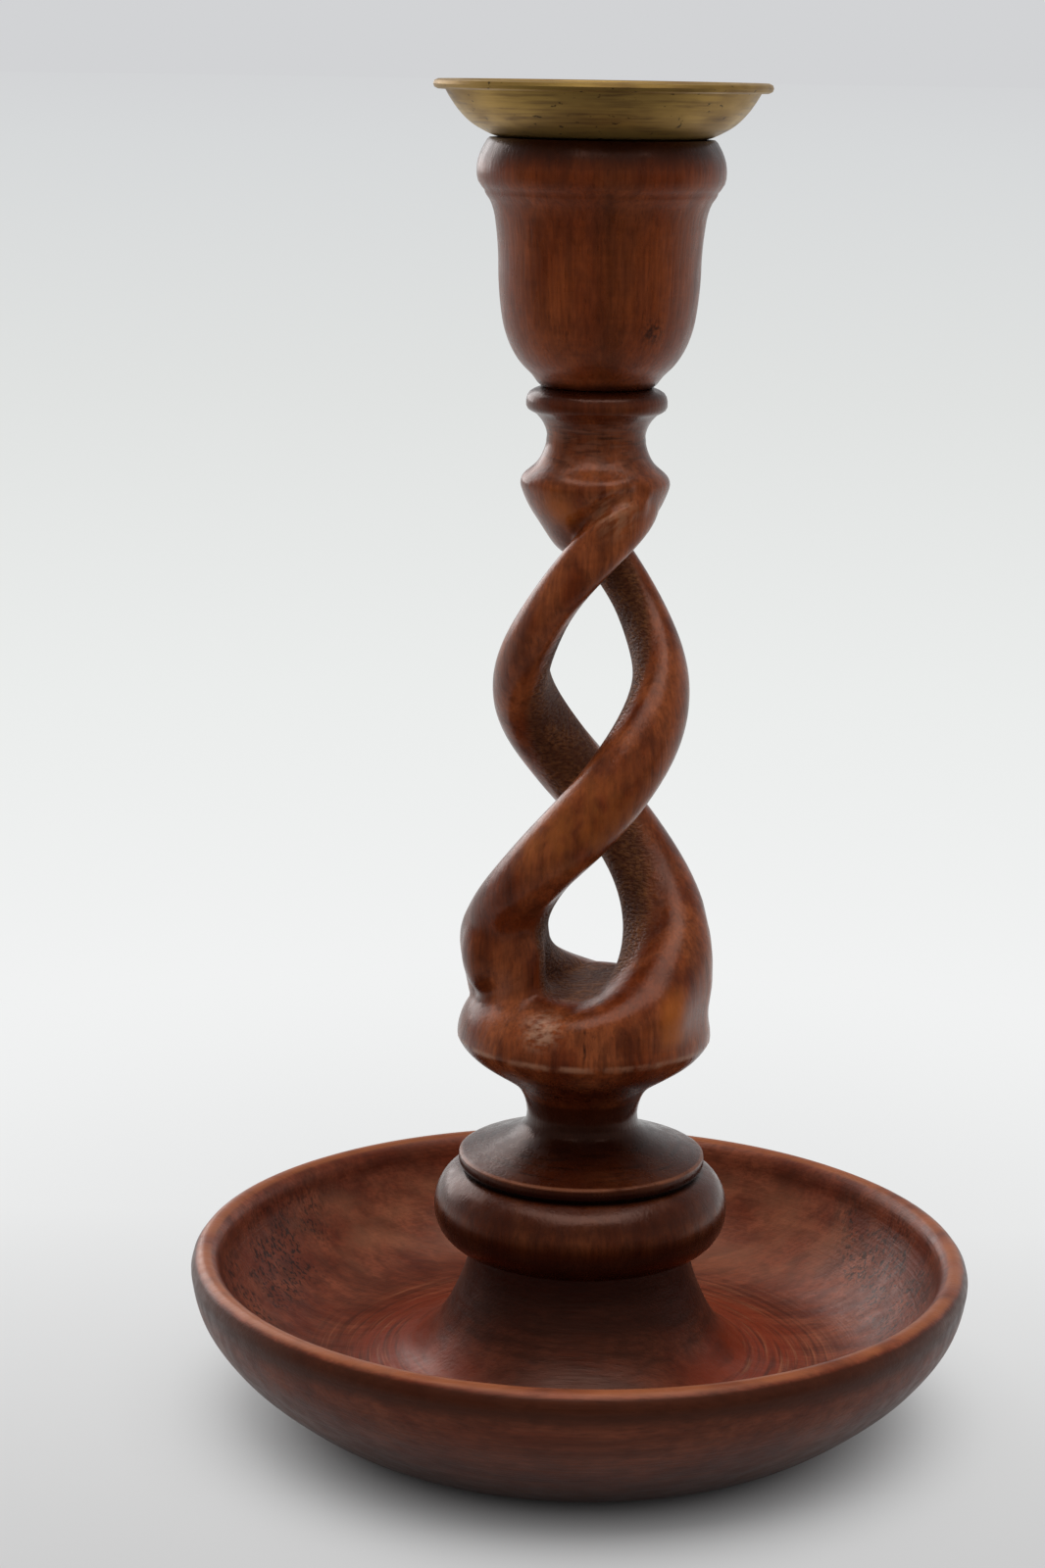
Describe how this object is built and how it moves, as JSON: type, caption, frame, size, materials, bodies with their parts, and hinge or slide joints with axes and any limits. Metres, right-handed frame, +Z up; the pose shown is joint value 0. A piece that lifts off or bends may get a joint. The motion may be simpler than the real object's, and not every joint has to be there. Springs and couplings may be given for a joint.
{
  "type": "spiral candle holder",
  "caption": "Turned wooden candlestick with an open spiral stem on a wide dish foot, a turned cup, and a brass socket with a loose drip pan.",
  "frame": {"origin": "middle of the foot, on the surface the holder stands on", "axes": "+Z up along the stem, towards the candle; -Y towards the side that is seen in the picture"},
  "size_m": [0.1418, 0.1418, 0.2401],
  "materials": {
    "dish_wood": "stained reddish brown, satin wax",
    "stem_wood": "stained reddish brown, satin wax",
    "cup_wood": "stained reddish brown, satin wax",
    "nozzle_brass": "aged, spun",
    "pan_brass": "aged, spun",
    "screw_steel": "dull"
  },
  "bodies": {
    "wood": {"base_dish": "dish_wood", "twist_stem": "stem_wood", "candle_cup": "cup_wood", "base_screw": "screw_steel"},
    "nozzle": {"candle_nozzle": "nozzle_brass"},
    "pan": {"drip_pan": "pan_brass"}
  },
  "joints": [
    {"name": "nozzle_lift", "type": "slide", "parent": "wood", "child": "nozzle", "axis": [0, 0, 1], "range_m": [0, 0.03]},
    {"name": "pan_swivel", "type": "hinge", "parent": "nozzle", "child": "pan", "pos_m": [0, 0, 0.231], "axis": [0, 0, 1], "continuous": true}
  ]
}
